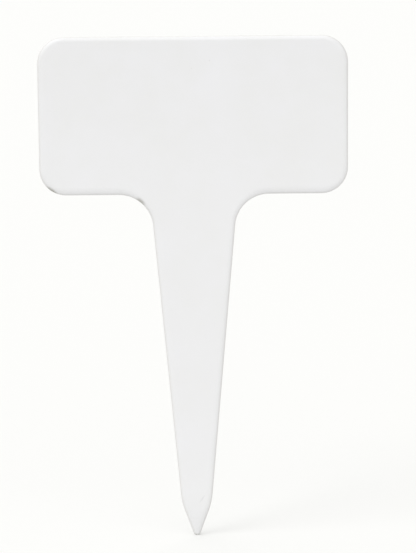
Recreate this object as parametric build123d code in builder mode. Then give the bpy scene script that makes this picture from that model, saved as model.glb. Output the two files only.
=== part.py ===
from build123d import *
import os
from math import radians, sin, tan

# A one-piece moulded plant label: a wide writing head on a tapered blade with a pencil point.
# X runs to the right across the head, Y through the thickness and Z up the blade.
# The origin is the lowest point of the blade, half way through the thickness.
# The writing face looks to -Y and the flat back to +Y. All lengths are in millimetres.

# The outline, seen from the front
overall_height = 100.0
head_width = 60.0
head_height = 30.95
head_corner_radius = 5.2
root_fillet_radius = 6.7
blade_root_width = 17.1
shoulder_width = 5.96
shoulder_blend_radius = 14.5
point_half_angle = 20.1
point_radius = 0.75

# The section, through the thickness
thickness = 1.5
face_edge_radius = 0.7
back_edge_radius = 0.2

# The rounded front edge stays a little tighter than the round end of the point that it runs around.
point_edge_share = 0.95

# Places that follow from the sizes above
half_head = head_width / 2
half_root = blade_root_width / 2
half_shoulder = shoulder_width / 2
head_bottom = overall_height - head_height
sharp_point_height = point_radius - point_radius / sin(radians(point_half_angle))
shoulder_height = sharp_point_height + half_shoulder / tan(radians(point_half_angle))
front_edge_radius = min(face_edge_radius, point_edge_share * point_radius)

# The corners of the right half, from the point upwards, each with the radius that rounds it.
# The root width is where the blade's straight sides would meet the head's lower edge.
right_corners = [
    (half_shoulder, shoulder_height, shoulder_blend_radius),
    (half_root, head_bottom, root_fillet_radius),
    (half_head, head_bottom, head_corner_radius),
    (half_head, overall_height, head_corner_radius),
]
left_corners = [(-x, z, radius) for x, z, radius in reversed(right_corners)]
corners = [(0, sharp_point_height, point_radius)] + right_corners + left_corners

with BuildPart() as label_stake:
    with BuildSketch(Plane.XZ.offset(-thickness / 2)):
        with BuildLine():
            FilletPolyline(
                [(x, z) for x, z, radius in corners],
                radius=[radius for x, z, radius in corners],
                close=True,
            )
        make_face()
    extrude(amount=thickness)
    fillet(faces().sort_by(Axis.Y)[0].edges(), radius=front_edge_radius)
    fillet(faces().sort_by(Axis.Y)[-1].edges(), radius=back_edge_radius)

label_stake.part.label = "label_stake"

os.makedirs("parts", exist_ok=True)
export_step(label_stake.part, "parts/label_stake.step")
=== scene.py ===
"""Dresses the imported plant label: one white moulded plate with soft edges, on a pale studio floor."""

import math

import bpy
import numpy as np
from bpy.props import FloatProperty, FloatVectorProperty, PointerProperty
from mathutils import Matrix, Vector


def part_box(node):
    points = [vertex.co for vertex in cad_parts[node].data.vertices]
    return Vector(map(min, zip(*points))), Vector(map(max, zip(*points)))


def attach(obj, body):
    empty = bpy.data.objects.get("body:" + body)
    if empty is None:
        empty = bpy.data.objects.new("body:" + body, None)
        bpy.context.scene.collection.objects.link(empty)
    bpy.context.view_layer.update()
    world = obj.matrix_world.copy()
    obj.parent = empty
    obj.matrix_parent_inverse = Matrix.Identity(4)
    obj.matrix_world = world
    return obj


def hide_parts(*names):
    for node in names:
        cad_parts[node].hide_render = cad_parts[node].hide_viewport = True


bl_info = {
    "name": "Moulded plant label",
    "version": (1, 0, 0),
    "blender": (4, 5, 0),
    "location": "3D View > Sidebar > Plant label",
    "description": "A T-shaped plant label of white moulded plastic on a pale floor",
    "category": "Object",
}

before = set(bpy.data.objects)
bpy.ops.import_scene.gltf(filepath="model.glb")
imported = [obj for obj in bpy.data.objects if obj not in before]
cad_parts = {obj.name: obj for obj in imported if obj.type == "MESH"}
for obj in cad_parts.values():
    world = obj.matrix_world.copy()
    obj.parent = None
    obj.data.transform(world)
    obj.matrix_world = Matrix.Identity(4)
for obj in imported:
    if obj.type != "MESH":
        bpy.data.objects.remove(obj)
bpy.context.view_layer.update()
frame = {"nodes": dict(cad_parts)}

# The one CAD node is the whole label
(NODE,) = frame["nodes"]
LOW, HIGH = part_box(NODE)

MM = 0.001

# Turns a point or a direction of the outline over to the label's other side
MIRROR = np.array((-1.0, 1.0))

# How finely the moulding is drawn
LINE_STEP = 1.0 * MM
ARC_STEP = 0.35 * MM
TIP_STEP = 0.12 * MM
LEAST_ARC_POINTS = 3
LEAST_LINE_STEPS = 2
ROLL_STEPS = 12
WALL_STEPS = 3
BACK_STEPS = 4
COLUMNS = 32

# The mesh attribute that tells the material where the rim's painted grey shade lies
RIM = "rim"

# Round the end of the point, the soft edge reaches in by this share of the point's radius, so that it
# doesn't fold over itself. This many radii up, it has grown to its full size.
POINT_EDGE_SHARE = 0.85
POINT_EDGE_RADII = 3

# Along the top, the soft edge is this much narrower and falls this much further back than along the sides,
# and the rim's painted grey shade is this much narrower
TOP_EDGE_LOSS_SHARE = 0.31
TOP_EDGE_GAIN_SHARE = 0.33
TOP_RIM_LOSS_SHARE = 0.75

# Under the head, the soft edge is this much wider, and this power of the slope makes it narrow again
# quickly at the corners
LOW_EDGE_GAIN_SHARE = 0.55
LOW_EDGE_POWER = 4

# Where the rows of points that cross the plate pass its centre line. They are level up to this share of
# the blade. The other shares are of the head's height: for the row from the fillets' start it is added to
# that start, and for the rows from the head's lower and upper corners it is added to the head's foot.
LEVEL_BLADE_SHARE = 0.6
FILLET_ROW_SHARE = 0.1
LOW_CORNER_ROW_SHARE = 0.3
HIGH_CORNER_ROW_SHARE = 0.65

# The low waves that the plate was left with as it cooled: how many millimetres across and up the plate
# turn each by one radian, where it starts in radians, and its height beside the others
WARP_WAVES = (
    (7.5, 19.0, 0.0, 1.0),
    (-23.0, 11.0, 1.3, 1.0),
    (5.2, 5.2, 0.4, 1 / 3),
)

# Just above the waves' heights added up
WARP_WAVES_LIMIT = 2.34


def linear(hex_colour):
    """Turns an sRGB hex colour into the linear red, green and blue that Blender's sockets take, by the
    sRGB curve."""
    parts = np.array([int(hex_colour[i:i + 2], 16) for i in (1, 3, 5)]) / 255
    bent = ((parts + 0.055) / 1.055) ** 2.4
    return tuple(float(c) for c in np.where(parts <= 0.04045, parts / 12.92, bent))


def length(name, description, default):
    """A property for a length in metres, shown in the scene's own unit."""
    return FloatProperty(
        name=name, description=description, default=default, min=0.0, precision=5, unit="LENGTH"
    )


def colour(name, description, hex_colour):
    """A property for a colour, stored linear."""
    return FloatVectorProperty(
        name=name,
        description=description,
        default=linear(hex_colour),
        min=0.0,
        max=1.0,
        size=3,
        subtype="COLOR",
    )


def strength(name, description, default):
    """A property for a distant lamp's strength, in watts on each square metre that faces it."""
    return FloatProperty(name=name, description=description, default=default, min=0.0, subtype="UNSIGNED")


class PlantLabelShape(bpy.types.PropertyGroup):
    """Sizes and colours of the moulded label."""

    overall_height: length("Height", "From the point's end to the head's top edge", HIGH.z)
    head_width: length("Head width", "Across the head", HIGH.x - LOW.x)
    thickness: length("Thickness", "From the writing face to the back", HIGH.y - LOW.y)
    head_height: length("Head height", "From the head's lower edge to its top edge", 30.95 * MM)
    head_corner_radius: length("Head corners", "Radius of the head's four corners", 5.2 * MM)
    root_fillet_radius: length("Root fillets", "Radius of the hollow corners under the head", 6.7 * MM)
    blade_root_width: length(
        "Blade width", "Where the blade's straight sides would meet the head", 17.1 * MM
    )
    shoulder_width: length("Shoulder width", "Where the blade turns in to its point", 5.96 * MM)
    shoulder_blend_radius: length(
        "Shoulder blend", "Radius between the blade's side and its point", 14.5 * MM
    )
    point_half_angle: FloatProperty(
        name="Point angle",
        description="Between the blade's centre line and each side of the point",
        default=math.radians(20.1),
        min=math.radians(5),
        max=math.radians(60),
        subtype="ANGLE",
    )
    point_radius: length("Point radius", "Radius of the point's round end", 0.75 * MM)
    face_edge_reach: length(
        "Front edge reach", "How far in from the outline the soft front edge starts", 1.05 * MM
    )
    face_edge_drop: length("Front edge drop", "How far back the soft front edge falls", 0.64 * MM)
    back_edge_radius: length("Back edge", "Radius of the crisp edge around the back", 0.2 * MM)
    # Painted shade: how far in from the outline the edge is painted grey, a darker line round the face
    rim_shade_width: length("Rubbed rim", "How far in from the outline handling has greyed the edge", 0.43 * MM)
    warp: length("Warp", "How far the cooled plate strays from flat", 0.015 * MM)
    plastic: colour("Plastic", "White of the moulded polypropylene", "#ECECED")
    clouding: colour("Clouding", "White of its faint clouds", "#E9E9E8")
    # Painted light: this lighter white is mixed in towards the blade, standing in for the light that the
    # floor throws up onto it
    clean: colour("Clean white", "White of which the less handled blade has kept a share", "#F8F8F8")
    # Painted shade: the grey painted along the rim, which darkens the outline
    rim_shade_grey: colour("Rim", "The plastic where handling has rubbed its edge", "#E1E0DD")


class PlantLabelStage(bpy.types.PropertyGroup):
    """The floor, the lamps and the surroundings."""

    floor: colour("Floor", "Colour of the pale floor", "#F1F1EF")
    shaded_floor: colour(
        "Floor's return", "What the floor throws back at the label, as if it were in half shade", "#D3D3D2"
    )
    backdrop: colour("Backdrop", "Colour of the paper behind the floor", "#FDFDFB")
    evenness: FloatProperty(
        name="Evenness",
        description="How much of the floor's look is the backdrop's own, which no shadow reaches",
        default=0.35,
        min=0.0,
        max=1.0,
        subtype="FACTOR",
    )
    sky: FloatProperty(
        name="Surroundings",
        description="Strength of the light from all round",
        default=0.653,
        min=0.0,
        subtype="UNSIGNED",
    )
    key: strength("Key lamp", "Soft lamp in front on the left, which throws the streak of shadow", 0.8)
    front: strength("Front lamp", "Wide low lamp over the camera", 0.851)
    side: strength("Side lamp", "Soft high lamp on the left, a little behind", 0.39)
    back: strength("Back lamp", "Soft lamp behind the label, which lights its top edge", 0.421)


def round_corner(before, corner, after, radius, step):
    """Rounds one corner of a polygon. The arc touches both sides, radius times the tangent of half the
    turn from the corner. Returns its points and its outward normals, which turn evenly from one side to
    the other."""
    into = (corner - before) / np.linalg.norm(corner - before)
    out = (after - corner) / np.linalg.norm(after - corner)
    turn = math.atan2(into[0] * out[1] - into[1] * out[0], into @ out)
    side = math.copysign(1.0, turn)
    count = max(LEAST_ARC_POINTS, 1 + math.ceil(abs(turn) * radius / step))
    angles = np.linspace(0.0, turn, count)
    first = np.array((into[1], -into[0]))
    across = np.array((-first[1], first[0]))
    normals = np.cos(angles)[:, None] * first + np.sin(angles)[:, None] * across
    centre = corner - into * radius * math.tan(abs(turn) / 2) - side * radius * first
    return centre + side * radius * normals, normals


def half_outline(shape):
    """The right half of the label's edge, from the bottom of the point to the middle of the top edge: a
    polygon with rounded corners. Returns points, outward normals, and the number of each arc's first
    point."""
    slope = math.tan(shape.point_half_angle)
    sharp = shape.point_radius * (1 - 1 / math.sin(shape.point_half_angle))
    shoulder = np.array((shape.shoulder_width / 2, sharp + shape.shoulder_width / 2 / slope))
    head_bottom = shape.overall_height - shape.head_height
    tip = np.array((0.0, sharp))
    root = np.array((shape.blade_root_width / 2, head_bottom))
    low = np.array((shape.head_width / 2, head_bottom))
    high = np.array((shape.head_width / 2, shape.overall_height))
    ring = [shoulder * MIRROR, tip, shoulder, root, low, high, high * MIRROR]
    radii = (
        shape.point_radius,
        shape.shoulder_blend_radius,
        shape.root_fillet_radius,
        shape.head_corner_radius,
        shape.head_corner_radius,
    )
    steps = (TIP_STEP, ARC_STEP, ARC_STEP, ARC_STEP, ARC_STEP)
    points, normals, starts = [], [], []
    for i, (radius, step) in enumerate(zip(radii, steps)):
        arc, facing = round_corner(ring[i], ring[i + 1], ring[i + 2], radius, step)
        if i == 0:
            half = len(arc) // 2
            arc, facing = arc[half:], facing[half:]
            arc[0, 0] = 0.0
        else:
            line = straight(points[-1][-1], arc[0])
            points.append(line)
            normals.append(np.tile(facing[0], (len(line), 1)))
        starts.append(sum(len(p) for p in points))
        points.append(arc)
        normals.append(facing)
    top = np.array((0.0, shape.overall_height))
    line = np.vstack((straight(points[-1][-1], top), top))
    points.append(line)
    normals.append(np.tile((0.0, 1.0), (len(line), 1)))
    return np.vstack(points), np.vstack(normals), starts


def straight(first, last):
    """Even steps along a straight side, with both ends left out."""
    count = max(LEAST_LINE_STEPS, math.ceil(np.linalg.norm(last - first) / LINE_STEP))
    shares = np.linspace(0.0, 1.0, count + 1)[1:-1, None]
    return first + (last - first) * shares


def edge_sizes(shape, outline, facing):
    """How far the soft front edge reaches in, how far back it falls and how wide the rim's painted grey
    shade is, at each point of the outline. Each is its own length times its shares for the point, the top
    and the head's foot. The top and the foot count by how far up or down the outline faces."""
    narrow = min(1.0, POINT_EDGE_SHARE * shape.point_radius / shape.face_edge_reach)
    full_at = POINT_EDGE_RADII * shape.point_radius
    share = np.interp(outline[:, 1], (shape.point_radius, full_at), (narrow, 1.0))
    upward = np.clip(facing[:, 1], 0.0, 1.0)
    downward = np.clip(-facing[:, 1], 0.0, 1.0) ** LOW_EDGE_POWER
    under_head = np.where(outline[:, 1] > shape.overall_height / 2, downward, 0.0)
    widening = 1 - TOP_EDGE_LOSS_SHARE * upward + LOW_EDGE_GAIN_SHARE * under_head
    reach = shape.face_edge_reach * share * widening
    drop = shape.face_edge_drop * share * (1 + TOP_EDGE_GAIN_SHARE * upward)
    rim_width = shape.rim_shade_width * (1 - TOP_RIM_LOSS_SHARE * upward)
    return reach, drop, rim_width


def edge_section(shape, reach, drop):
    """The section that is carried round the outline, from the writing face over the soft front edge, along
    the wall and round the crisp back edge: a quarter ellipse, a line and a quarter circle. The reach and
    the drop are the ellipse's half axes at each point of the outline. Returns how far in and how far back,
    a row for each ring."""
    face, back, crisp = -shape.thickness / 2, shape.thickness / 2, shape.back_edge_radius
    over_front = np.linspace(0.0, math.pi / 2, ROLL_STEPS + 1)[:, None]
    over_back = np.linspace(0.0, math.pi / 2, BACK_STEPS + 1)[:, None]
    along = np.linspace(0.0, 1.0, WALL_STEPS + 1)[1:-1, None]
    wall = (face + drop) * (1 - along) + (back - crisp) * along
    same = np.ones_like(reach)
    inset = np.vstack((
        reach * (1 - np.sin(over_front)),
        np.zeros_like(wall),
        crisp * (1 - np.cos(over_back)) * same,
    ))
    depth = np.vstack((
        face + drop * (1 - np.cos(over_front)),
        wall,
        (back - crisp + crisp * np.sin(over_back)) * same,
    ))
    return inset, depth


def centre_heights(edge, starts):
    """For each row that crosses the plate, the height at which it passes the centre line. Rows are level on
    the blade, dip under the head, and arch over its upper half, so that none of them crosses another.
    Between the named places, the height grows evenly with the run along the edge."""
    run = np.concatenate(([0.0], np.cumsum(np.linalg.norm(np.diff(edge, axis=0), axis=1))))
    _, _, root, low, high = starts
    blade_top, head_foot, head_top = edge[root, 1], edge[low, 1], edge[-1, 1]
    rise = head_top - head_foot
    level = np.searchsorted(edge[:root, 1], LEVEL_BLADE_SHARE * blade_top)
    stations = [0, level, root, low, high, len(edge) - 1]
    heights = (
        edge[0, 1],
        edge[level, 1],
        blade_top + FILLET_ROW_SHARE * rise,
        head_foot + LOW_CORNER_ROW_SHARE * rise,
        head_foot + HIGH_CORNER_ROW_SHARE * rise,
        head_top,
    )
    on_blade = np.arange(len(edge)) <= level
    return np.where(on_blade, edge[:, 1], np.interp(run, run[stations], heights))


def side_points(edge, starts, depth):
    """The inner points of one flat side, in rows from the left edge to the right. A row is a parabola
    through both ends and its height on the centre line, and its points crowd towards the ends as a sine
    does."""
    across = np.sin(np.linspace(-math.pi / 2, math.pi / 2, COLUMNS + 1))
    middle = centre_heights(edge, starts)[:, None]
    x = edge[:, :1] * across
    z = middle + (edge[:, 1:] - middle) * across**2
    return np.stack((x, np.full_like(x, depth), z), axis=-1)[1:-1, 1:-1].reshape(-1, 3)


def side_faces(ring, half, first):
    """The faces of one flat side: quads between its rows, and a fan of triangles at the foot and at the
    top, where a row is one point. The ring holds the numbers of the edge's points, with the right half
    first, and the inner points are numbered on from first."""
    grid = np.empty((half, COLUMNS + 1), int)
    grid[:, -1] = ring[:half]
    grid[:, 0] = np.concatenate((ring[:1], ring[:half - 1:-1], ring[half - 1:half]))
    inner = grid[1:-1, 1:-1]
    inner[:] = first + np.arange(inner.size).reshape(inner.shape)
    body = grid[1:-1]
    cells = np.stack((body[:-1, :-1], body[:-1, 1:], body[1:, 1:], body[1:, :-1]), axis=-1)
    foot = np.stack((np.full(COLUMNS, grid[0, -1]), grid[1, 1:], grid[1, :-1]), axis=-1)
    crown = np.stack((np.full(COLUMNS, grid[-1, -1]), grid[-2, :-1], grid[-2, 1:]), axis=-1)
    return cells.reshape(-1, 4), np.vstack((foot, crown))


def moulding_mesh(shape):
    """The whole skin of the moulding: the edge section carried round the outline, closed by two flat sides.
    Returns points, quads, triangles and each point's share of the rim's painted grey shade, which falls
    evenly from one on the wall to nought at the rim's width."""
    points, normals, starts = half_outline(shape)
    half = len(points)
    left = slice(half - 2, 0, -1)
    outline = np.vstack((points, points[left] * MIRROR))
    facing = np.vstack((normals, normals[left] * MIRROR))
    reach, drop, rim_width = edge_sizes(shape, outline, facing)
    inset, depth = edge_section(shape, reach, drop)
    flat = outline - inset[..., None] * facing
    rings = np.stack((flat[..., 0], depth, flat[..., 1]), axis=-1).reshape(-1, 3)
    number = np.arange(inset.size).reshape(inset.shape)
    ahead = np.roll(number, -1, axis=1)
    edge_quads = np.stack((number[:-1], number[1:], ahead[1:], ahead[:-1]), axis=-1).reshape(-1, 4)
    face_points = side_points(flat[0, :half], starts, depth[0, 0])
    back_points = side_points(flat[-1, :half], starts, depth[-1, 0])
    face_quads, face_fans = side_faces(number[0], half, len(rings))
    back_quads, back_fans = side_faces(number[-1], half, len(rings) + len(face_points))
    vertices = np.vstack((rings, face_points, back_points))
    quads = np.vstack((edge_quads, face_quads, back_quads[:, ::-1]))
    triangles = np.vstack((face_fans, back_fans[:, ::-1]))
    # Painted shade: each point's share of the grey painted along the rim
    rim_shaded = np.clip(1 - inset / rim_width, 0.0, 1.0).ravel()
    rim = np.concatenate((rim_shaded, np.zeros(len(vertices) - len(rim_shaded))))
    return vertices, quads, triangles, rim


def warped(vertices, shape):
    """Bends the plate by a sum of low waves, as a thin moulding is left when it cools. Each wave is the
    sine of the place across over one length, plus the place up over another, plus a start. The plate is
    made thinner first by as much as it bends, so that it stays inside its thickness."""
    x, z = vertices[:, 0] / MM, vertices[:, 2] / MM
    waves = sum(height * np.sin(x / across + z / up + start) for across, up, start, height in WARP_WAVES)
    bent = vertices.copy()
    bent[:, 1] *= 1 - 2 * shape.warp / shape.thickness
    bent[:, 1] += shape.warp * waves / WARP_WAVES_LIMIT
    return bent


def new_piece(name, vertices, faces, material):
    """Makes a smooth mesh piece at the origin from points and faces."""
    mesh = bpy.data.meshes.new(name)
    mesh.from_pydata(vertices.tolist(), [], faces)
    mesh.validate()
    mesh.polygons.foreach_set("use_smooth", np.ones(len(mesh.polygons), bool))
    mesh.materials.append(material)
    mesh.update()
    piece = bpy.data.objects.new(name, mesh)
    bpy.context.scene.collection.objects.link(piece)
    return piece


# The colour sockets of a mix node, by number because their names repeat
MIX_A, MIX_B, MIX_COLOUR = 6, 7, 2


def add_node(tree, kind, settings=(), values=(), links=()):
    """Adds a node, sets its options and its sockets' values, and links other nodes' outputs to it."""
    node = tree.nodes.new(kind)
    for name, value in dict(settings).items():
        setattr(node, name, value)
    for socket, value in dict(values).items():
        node.inputs[socket].default_value = value
    for socket, source in dict(links).items():
        tree.links.new(source, node.inputs[socket])
    return node


def new_material(name):
    """An empty node material and its tree."""
    material = bpy.data.materials.new(name)
    material.use_nodes = True
    material.node_tree.nodes.clear()
    return material, material.node_tree


# Marks on the face, as the photograph shows them: the place in millimetres, the turn in the face's plane
# in degrees, the half sizes along, into and across the mark in millimetres, the colour and its cover
SOIL = "#7C7A66"
RUBBED = "#B4B4B2"
FACE_MARKS = (
    ((-27.80, -0.35, 70.00), 34.0, (1.85, 0.9, 0.85), SOIL, 0.62),
    ((-10.35, -0.35, 67.80), 42.0, (1.45, 0.9, 0.8), SOIL, 0.47),
    ((1.07, -0.75, 7.55), -56.0, (1.3, 0.3, 0.24), RUBBED, 0.18),
    ((-0.23, -0.75, 93.85), 0.0, (0.17, 0.3, 0.17), SOIL, 0.12),
    ((3.26, -0.75, 95.37), 0.0, (0.17, 0.3, 0.17), SOIL, 0.12),
)

# A mark is full within this share of its half sizes and fades from there. A noise with tufts of this size
# moves its rim by up to half of this fray either way.
MARK_CORE = 0.2
MARK_FRAY = 0.25 * MM
TUFT_SIZE = 0.3 * MM

# The plastic's patterns, by the size of one cloud or dent and its depth. The pits of a spark-finished tool
# are a few hundredths of a millimetre wide. They are drawn at nearly a pixel of the render, so that they
# show.
CLOUD_SIZE = 14.0 * MM
POLISH_SIZE = 1.6 * MM
RIPPLE_SIZE = 3.5 * MM
RIPPLE_DEPTH = 0.012 * MM
PIT_SIZE = 0.16 * MM
PIT_DEPTH = 0.006 * MM

# Nearly all of a noise lies between these values
NOISE_LOW = 0.3
NOISE_HIGH = 0.7

# The matt face's roughness, from its most polished places to its least
SMOOTHEST = 0.46
ROUGHEST = 0.56

# Painted light: up to this height the label shows this share of a lighter white, standing in for the light
# that the floor throws up, and it fades out to the head's top edge
BOUNCE_LIGHT_SHARE = 0.175
BOUNCE_LIGHT_HEIGHT = 65.0 * MM


def with_marks(tree, place, plain):
    """Lays the marks over a plain colour. Each is a soft ellipsoid about its place, frayed by a noise."""
    tufts = add_node(
        tree,
        "ShaderNodeTexNoise",
        values={"Scale": 1 / TUFT_SIZE, "Detail": 3.0},
        links={"Vector": place},
    )
    frayed = add_node(
        tree,
        "ShaderNodeVectorMath",
        settings={"operation": "MULTIPLY_ADD"},
        values={1: (MARK_FRAY, MARK_FRAY, MARK_FRAY)},
        links={0: tufts.outputs["Color"], 2: place},
    )
    for centre, turn, reach, hex_colour, cover in FACE_MARKS:
        inside = add_node(
            tree,
            "ShaderNodeMapping",
            settings={"vector_type": "TEXTURE"},
            values={
                "Location": [c * MM + MARK_FRAY / 2 for c in centre],
                "Rotation": (0.0, math.radians(turn), 0.0),
                "Scale": [r * MM for r in reach],
            },
            links={"Vector": frayed.outputs["Vector"]},
        )
        away = add_node(
            tree,
            "ShaderNodeVectorMath",
            settings={"operation": "LENGTH"},
            links={0: inside.outputs["Vector"]},
        )
        mask = add_node(
            tree,
            "ShaderNodeMapRange",
            settings={"interpolation_type": "SMOOTHSTEP"},
            values={"From Min": MARK_CORE, "From Max": 1.0, "To Min": cover, "To Max": 0.0},
            links={"Value": away.outputs["Value"]},
        )
        laid = add_node(
            tree,
            "ShaderNodeMix",
            settings={"data_type": "RGBA"},
            values={MIX_B: (*linear(hex_colour), 1.0)},
            links={"Factor": mask.outputs["Result"], MIX_A: plain},
        )
        plain = laid.outputs[MIX_COLOUR]
    return plain


def moulded_polypropylene(shape):
    """White polypropylene, injection moulded in a spark-finished tool. The tool's fine pits leave a matt
    grain, so that the face spreads the light evenly. The white pigment flows in with faint clouds. Painted
    light makes the blade a little whiter than the head, and painted shade greys the rim, which draws a thin
    line round the face."""
    material, tree = new_material("white_moulded_polypropylene")
    place = add_node(tree, "ShaderNodeTexCoord").outputs["Object"]
    cloud = add_node(
        tree,
        "ShaderNodeTexNoise",
        values={"Scale": 1 / CLOUD_SIZE, "Detail": 4.0, "Roughness": 0.6},
        links={"Vector": place},
    )
    clouded = add_node(
        tree,
        "ShaderNodeMapRange",
        values={"From Min": NOISE_LOW, "From Max": NOISE_HIGH},
        links={"Value": cloud.outputs["Fac"]},
    )
    white = add_node(
        tree,
        "ShaderNodeMix",
        settings={"data_type": "RGBA"},
        values={MIX_A: (*shape.plastic, 1.0), MIX_B: (*shape.clouding, 1.0)},
        links={"Factor": clouded.outputs["Result"]},
    )
    # Painted light: from here the label is painted lighter towards the blade, standing in for the floor's
    # bounced light
    height = add_node(tree, "ShaderNodeSeparateXYZ", links={"Vector": place})
    bounce_share = add_node(
        tree,
        "ShaderNodeMapRange",
        values={
            "From Min": BOUNCE_LIGHT_HEIGHT,
            "From Max": shape.overall_height,
            "To Min": BOUNCE_LIGHT_SHARE,
            "To Max": 0.0,
        },
        links={"Value": height.outputs["Z"]},
    )
    bounce_lit = add_node(
        tree,
        "ShaderNodeMix",
        settings={"data_type": "RGBA"},
        values={MIX_B: (*shape.clean, 1.0)},
        links={"Factor": bounce_share.outputs["Result"], MIX_A: white.outputs[MIX_COLOUR]},
    )
    # Painted shade: the rim is painted grey, which draws a darker line round the face
    rim = add_node(tree, "ShaderNodeAttribute", settings={"attribute_name": RIM})
    rim_shaded = add_node(
        tree,
        "ShaderNodeMix",
        settings={"data_type": "RGBA"},
        values={MIX_B: (*shape.rim_shade_grey, 1.0)},
        links={"Factor": rim.outputs["Fac"], MIX_A: bounce_lit.outputs[MIX_COLOUR]},
    )
    polish = add_node(
        tree,
        "ShaderNodeTexNoise",
        values={"Scale": 1 / POLISH_SIZE, "Detail": 2.0},
        links={"Vector": place},
    )
    roughness = add_node(
        tree,
        "ShaderNodeMapRange",
        values={
            "From Min": NOISE_LOW,
            "From Max": NOISE_HIGH,
            "To Min": SMOOTHEST,
            "To Max": ROUGHEST,
        },
        links={"Value": polish.outputs["Fac"]},
    )
    ripple = add_node(
        tree,
        "ShaderNodeTexNoise",
        values={"Scale": 1 / RIPPLE_SIZE, "Detail": 1.0},
        links={"Vector": place},
    )
    flow = add_node(
        tree,
        "ShaderNodeBump",
        values={"Strength": 1.0, "Distance": RIPPLE_DEPTH},
        links={"Height": ripple.outputs["Fac"]},
    )
    pits = add_node(
        tree,
        "ShaderNodeTexNoise",
        values={"Scale": 1 / PIT_SIZE, "Detail": 2.0, "Roughness": 0.6},
        links={"Vector": place},
    )
    grain = add_node(
        tree,
        "ShaderNodeBump",
        values={"Strength": 1.0, "Distance": PIT_DEPTH},
        links={"Height": pits.outputs["Fac"], "Normal": flow.outputs["Normal"]},
    )
    shader = add_node(
        tree,
        "ShaderNodeBsdfPrincipled",
        values={"IOR": 1.49},
        links={
            "Base Color": with_marks(tree, place, rim_shaded.outputs[MIX_COLOUR]),
            "Roughness": roughness.outputs["Result"],
            "Normal": grain.outputs["Normal"],
        },
    )
    add_node(tree, "ShaderNodeOutputMaterial", links={"Surface": shader.outputs["BSDF"]})
    return material


def seen_directly(tree):
    """One for rays from the camera and for rays that gloss or glass sends on, and nought for others."""
    path = add_node(tree, "ShaderNodeLightPath")
    mirrored = add_node(
        tree,
        "ShaderNodeMath",
        settings={"operation": "MAXIMUM"},
        links={0: path.outputs["Is Glossy Ray"], 1: path.outputs["Is Transmission Ray"]},
    )
    seen = add_node(
        tree,
        "ShaderNodeMath",
        settings={"operation": "MAXIMUM"},
        links={0: path.outputs["Is Camera Ray"], 1: mirrored.outputs["Value"]},
    )
    return seen.outputs["Value"]


def pale_floor(stage):
    """A matt painted floor. The camera sees it pale, with the label's shadow on it, and it throws less
    light back than that, as a small sheet on a darker table does, so that the label's lower edges stay
    grey. A share of what the camera sees is the backdrop's own brightness, which keeps the shadow light."""
    material, tree = new_material("pale_matt_floor")
    seen = seen_directly(tree)
    tone = add_node(
        tree,
        "ShaderNodeMix",
        settings={"data_type": "RGBA"},
        values={MIX_A: (*stage.shaded_floor, 1.0), MIX_B: (*stage.floor, 1.0)},
        links={"Factor": seen},
    )
    matt = add_node(tree, "ShaderNodeBsdfDiffuse", links={"Color": tone.outputs[MIX_COLOUR]})
    paper = add_node(tree, "ShaderNodeEmission", values={"Color": (*stage.backdrop, 1.0), "Strength": 1.0})
    share = add_node(
        tree,
        "ShaderNodeMath",
        settings={"operation": "MULTIPLY"},
        values={1: stage.evenness},
        links={0: seen},
    )
    mixed = add_node(
        tree,
        "ShaderNodeMixShader",
        links={"Fac": share.outputs["Value"], 1: matt.outputs["BSDF"], 2: paper.outputs["Emission"]},
    )
    add_node(tree, "ShaderNodeOutputMaterial", links={"Surface": mixed.outputs["Shader"]})
    return material


class PLANTLABEL_OT_moulding(bpy.types.Operator):
    """Build the label's moulding, which stands for the CAD node"""

    bl_idname = "plantlabel.moulding"
    bl_label = "Moulded label"

    def execute(self, context):
        shape = context.scene.plant_label_shape
        vertices, quads, triangles, rim = moulding_mesh(shape)
        faces = quads.tolist() + triangles.tolist()
        piece = new_piece("moulded_label", warped(vertices, shape), faces, moulded_polypropylene(shape))
        piece.data.attributes.new(RIM, "FLOAT", "POINT").data.foreach_set("value", rim)
        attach(piece, "root")
        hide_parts(NODE)
        return {"FINISHED"}


def soft_sun(name, azimuth, elevation, width, power):
    """A distant round lamp that shines on the label from its azimuth and elevation and fills its width,
    in degrees."""
    lamp = bpy.data.lights.new(name, "SUN")
    lamp.energy = power
    lamp.angle = math.radians(width)
    holder = bpy.data.objects.new(name, lamp)
    turn, rise = math.radians(azimuth), math.radians(elevation)
    towards = Vector((math.sin(turn) * math.cos(rise), -math.cos(turn) * math.cos(rise), math.sin(rise)))
    holder.rotation_euler = towards.to_track_quat("Z", "Y").to_euler()
    bpy.context.scene.collection.objects.link(holder)


# The lamps' azimuth, elevation and the angle that each fills, in degrees. The azimuth is 0 in front of the
# label and 90 on its right.
LAMPS = {
    "key": (300, 45, 32),
    "front": (15, 20, 100),
    "side": (250, 50, 60),
    "back": (180, 40, 60),
}

# The floor starts just in front of the label, below the camera's view, and runs back behind it
FLOOR_HALF_WIDTH = 1.5
FLOOR_FRONT = -0.016
FLOOR_BACK = 2.0


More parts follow.
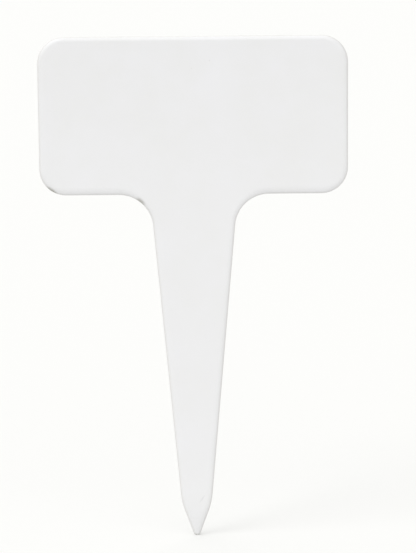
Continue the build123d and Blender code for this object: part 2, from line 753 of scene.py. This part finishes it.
class PLANTLABEL_OT_stage(bpy.types.Operator):
    """Lay the floor, hang the lamps and place the camera"""

    bl_idname = "plantlabel.stage"
    bl_label = "Studio stage"

    def execute(self, context):
        stage = context.scene.plant_label_stage
        corners = np.array([
            (-FLOOR_HALF_WIDTH, FLOOR_FRONT, 0.0),
            (FLOOR_HALF_WIDTH, FLOOR_FRONT, 0.0),
            (FLOOR_HALF_WIDTH, FLOOR_BACK, 0.0),
            (-FLOOR_HALF_WIDTH, FLOOR_BACK, 0.0),
        ])
        new_piece("floor", corners, [(0, 1, 2, 3)], pale_floor(stage))
        for name, angles in LAMPS.items():
            soft_sun(f"{name}_lamp", *angles, getattr(stage, name))

        world = bpy.data.worlds.new("studio")
        context.scene.world = world
        world.use_nodes = True
        tree = world.node_tree
        tree.nodes.clear()
        light = add_node(
            tree,
            "ShaderNodeBackground",
            values={"Color": (1.0, 1.0, 1.0, 1.0), "Strength": stage.sky},
        )
        paper = add_node(
            tree,
            "ShaderNodeBackground",
            values={"Color": (*stage.backdrop, 1.0), "Strength": 1.0},
        )
        mixed = add_node(
            tree,
            "ShaderNodeMixShader",
            links={
                "Fac": seen_directly(tree),
                1: light.outputs["Background"],
                2: paper.outputs["Background"],
            },
        )
        add_node(tree, "ShaderNodeOutputWorld", links={"Surface": mixed.outputs["Shader"]})

        context.scene.view_settings.view_transform = "Standard"
        place_camera(context.scene)
        return {"FINISHED"}


# The camera that the photograph was taken with, found from the label's outline. The sensor is as wide as
# the photograph's long side.
CAMERA_PLACE = (2.604 * MM, -600.0 * MM, 183.56 * MM)
CAMERA_PITCH = math.radians(12.312)
CAMERA_ROLL = math.radians(0.5124)
FOCAL_PIXELS = 3135.4
LONG_SIDE_PIXELS = 553
SENSOR_MM = 36.0
CLIP_NEAR = 0.01
CLIP_FAR = 50.0


def place_camera(scene):
    """Looks along +Y, pitched down, with a slight roll."""
    camera = bpy.data.cameras.new("camera")
    camera.sensor_width = SENSOR_MM
    camera.lens = FOCAL_PIXELS * SENSOR_MM / LONG_SIDE_PIXELS
    camera.clip_start = CLIP_NEAR
    camera.clip_end = CLIP_FAR
    holder = bpy.data.objects.new("camera", camera)
    look_along_y = Matrix.Rotation(math.pi / 2, 4, "X")
    pitched = Matrix.Rotation(-CAMERA_PITCH, 4, "X") @ look_along_y
    rolled = pitched @ Matrix.Rotation(-CAMERA_ROLL, 4, "Z")
    holder.matrix_world = Matrix.Translation(CAMERA_PLACE) @ rolled
    scene.collection.objects.link(holder)
    scene.camera = holder


class PLANTLABEL_PT_panel(bpy.types.Panel):
    """The label's sizes, colours and steps"""

    bl_idname = "PLANTLABEL_PT_panel"
    bl_label = "Plant label"
    bl_space_type = "VIEW_3D"
    bl_region_type = "UI"
    bl_category = "Plant label"

    def draw(self, context):
        layout = self.layout
        for group in (context.scene.plant_label_shape, context.scene.plant_label_stage):
            box = layout.box()
            for name in group.__annotations__:
                box.prop(group, name)
        for step in STEPS:
            layout.operator(step.bl_idname)


GROUPS = (PlantLabelShape, PlantLabelStage)
STEPS = (PLANTLABEL_OT_moulding, PLANTLABEL_OT_stage)
CLASSES = (*GROUPS, *STEPS, PLANTLABEL_PT_panel)


def register():
    """Registers the classes and gives every scene the two groups of settings."""
    for item in CLASSES:
        bpy.utils.register_class(item)
    bpy.types.Scene.plant_label_shape = PointerProperty(type=PlantLabelShape)
    bpy.types.Scene.plant_label_stage = PointerProperty(type=PlantLabelStage)


def unregister():
    """Takes back what register did, in the other order."""
    del bpy.types.Scene.plant_label_shape
    del bpy.types.Scene.plant_label_stage
    for item in reversed(CLASSES):
        bpy.utils.unregister_class(item)


def main():
    """Builds the label and its stage."""
    register()
    bpy.ops.plantlabel.moulding()
    bpy.ops.plantlabel.stage()


if __name__ == "__main__":
    main()
